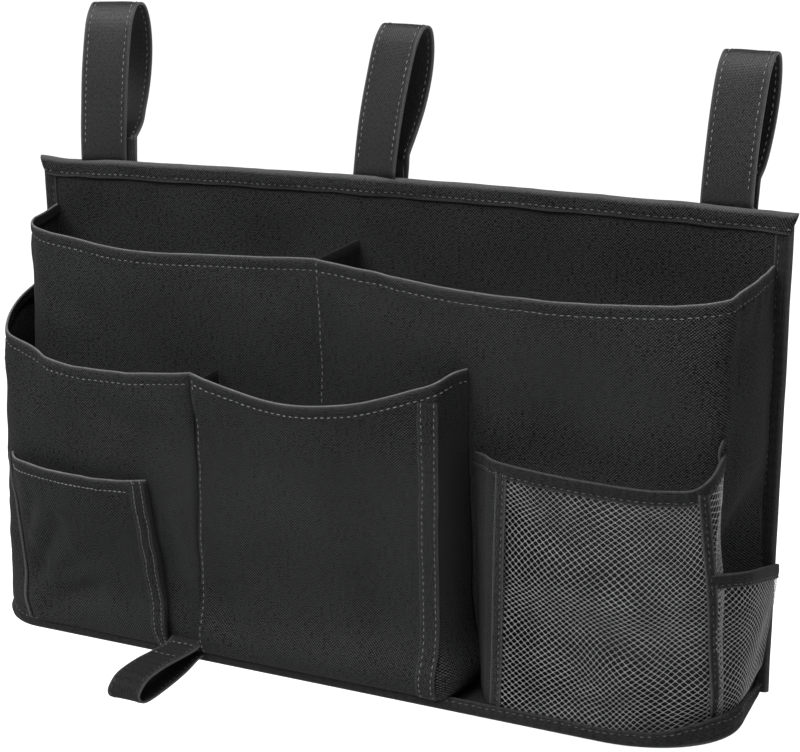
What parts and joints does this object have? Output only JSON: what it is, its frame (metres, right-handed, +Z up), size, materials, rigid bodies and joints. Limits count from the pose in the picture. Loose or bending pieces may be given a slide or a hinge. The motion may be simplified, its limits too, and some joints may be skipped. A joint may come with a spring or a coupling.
{
  "type": "bedside caddy",
  "caption": "Hanging cloth caddy for a bed rail: stiffened back panel, open bellows and net pockets on a stiff base, and strap loops that close with hook tape.",
  "frame": {"origin": "axis of the bed rail that the three strap loops go over, midway along the caddy", "axes": "+X along the bed rail, to the right as seen from the pockets; +Y from the pockets towards the bed; +Z up"},
  "size_m": [0.5, 0.2027, 0.3914],
  "materials": {
    "cloth": "plain woven black oxford cloth, matt with a faint grey sheen",
    "lining": "plain woven black lining cloth, matt",
    "tape": "ribbed black binding tape, stitched along its edges",
    "webbing": "doubled black cloth strap with a stitched edge",
    "netting": "knitted hexagonal net of grey black thread",
    "hook_tape": "black hook and loop tape",
    "board": "grey stiffening board inside the cloth"
  },
  "bodies": {
    "root": {"back_cloth_front": "cloth", "back_board": "board", "back_cloth_rear": "lining", "top_hem": "cloth", "side_binding_left": "tape", "side_binding_right": "tape", "base_cloth_under": "cloth", "base_board": "board", "base_cloth_inner": "lining", "base_band": "cloth", "rear_pocket_wall_left": "cloth", "rear_pocket_wall_right": "cloth", "rear_pocket_divider": "lining", "left_pocket_gusset": "cloth", "left_pocket_front": "cloth", "centre_pocket_front": "cloth", "centre_pocket_edge_strip": "tape", "centre_pocket_gusset": "cloth", "front_pocket_divider": "lining", "patch_pocket_corner_piping": "tape", "patch_pocket_front": "cloth", "patch_pocket_edge_strip": "tape", "net_pocket_gusset": "cloth", "net_pocket_net_front": "netting", "net_pocket_corner_tape": "tape", "net_pocket_net_side": "netting", "net_pocket_top_tape": "tape", "side_pocket_net": "netting", "side_pocket_tape": "tape", "left_strap_anchor": "webbing", "left_strap_loop_patch": "hook_tape", "middle_strap_anchor": "webbing", "middle_strap_loop_patch": "hook_tape", "right_strap_anchor": "webbing", "right_strap_loop_patch": "hook_tape"},
    "left_strap": {"left_strap_front": "webbing"},
    "left_strap_end": {"left_strap_tail": "webbing", "left_strap_hook_patch": "hook_tape"},
    "middle_strap": {"middle_strap_front": "webbing"},
    "middle_strap_end": {"middle_strap_tail": "webbing", "middle_strap_hook_patch": "hook_tape"},
    "right_strap": {"right_strap_front": "webbing"},
    "right_strap_end": {"right_strap_tail": "webbing", "right_strap_hook_patch": "hook_tape"},
    "bottom_strap": {"bottom_strap": "webbing"}
  },
  "joints": [
    {"name": "left_strap_swing", "type": "hinge", "parent": "root", "child": "left_strap", "pos_m": [-0.2015, -0.0125, -0.05845], "axis": [1, 0, 0], "range_deg": [0, 90]},
    {"name": "left_strap_opening", "type": "hinge", "parent": "left_strap", "child": "left_strap_end", "pos_m": [-0.19405, 0.00676, 0.0405], "axis": [0.9781, 0.2079, 0], "range_deg": [0, 135]},
    {"name": "middle_strap_swing", "type": "hinge", "parent": "root", "child": "middle_strap", "pos_m": [-0.0077, -0.0125, -0.0562], "axis": [1, 0, 0], "range_deg": [0, 90]},
    {"name": "middle_strap_opening", "type": "hinge", "parent": "middle_strap", "child": "middle_strap_end", "pos_m": [0.01152, -0.00007, 0.03322], "axis": [0.9781, -0.2079, 0], "range_deg": [0, 135]},
    {"name": "right_strap_swing", "type": "hinge", "parent": "root", "child": "right_strap", "pos_m": [0.209, -0.0109, -0.0586], "axis": [1, 0, 0], "range_deg": [0, 90]},
    {"name": "right_strap_opening", "type": "hinge", "parent": "right_strap", "child": "right_strap_end", "pos_m": [0.21727, 0.0013, 0.02528], "axis": [0.9877, -0.1564, 0], "range_deg": [0, 135]},
    {"name": "bottom_strap_swing", "type": "hinge", "parent": "root", "child": "bottom_strap", "pos_m": [-0.0955, -0.1079, -0.3475], "axis": [1, 0, 0], "range_deg": [0, 90]}
  ]
}
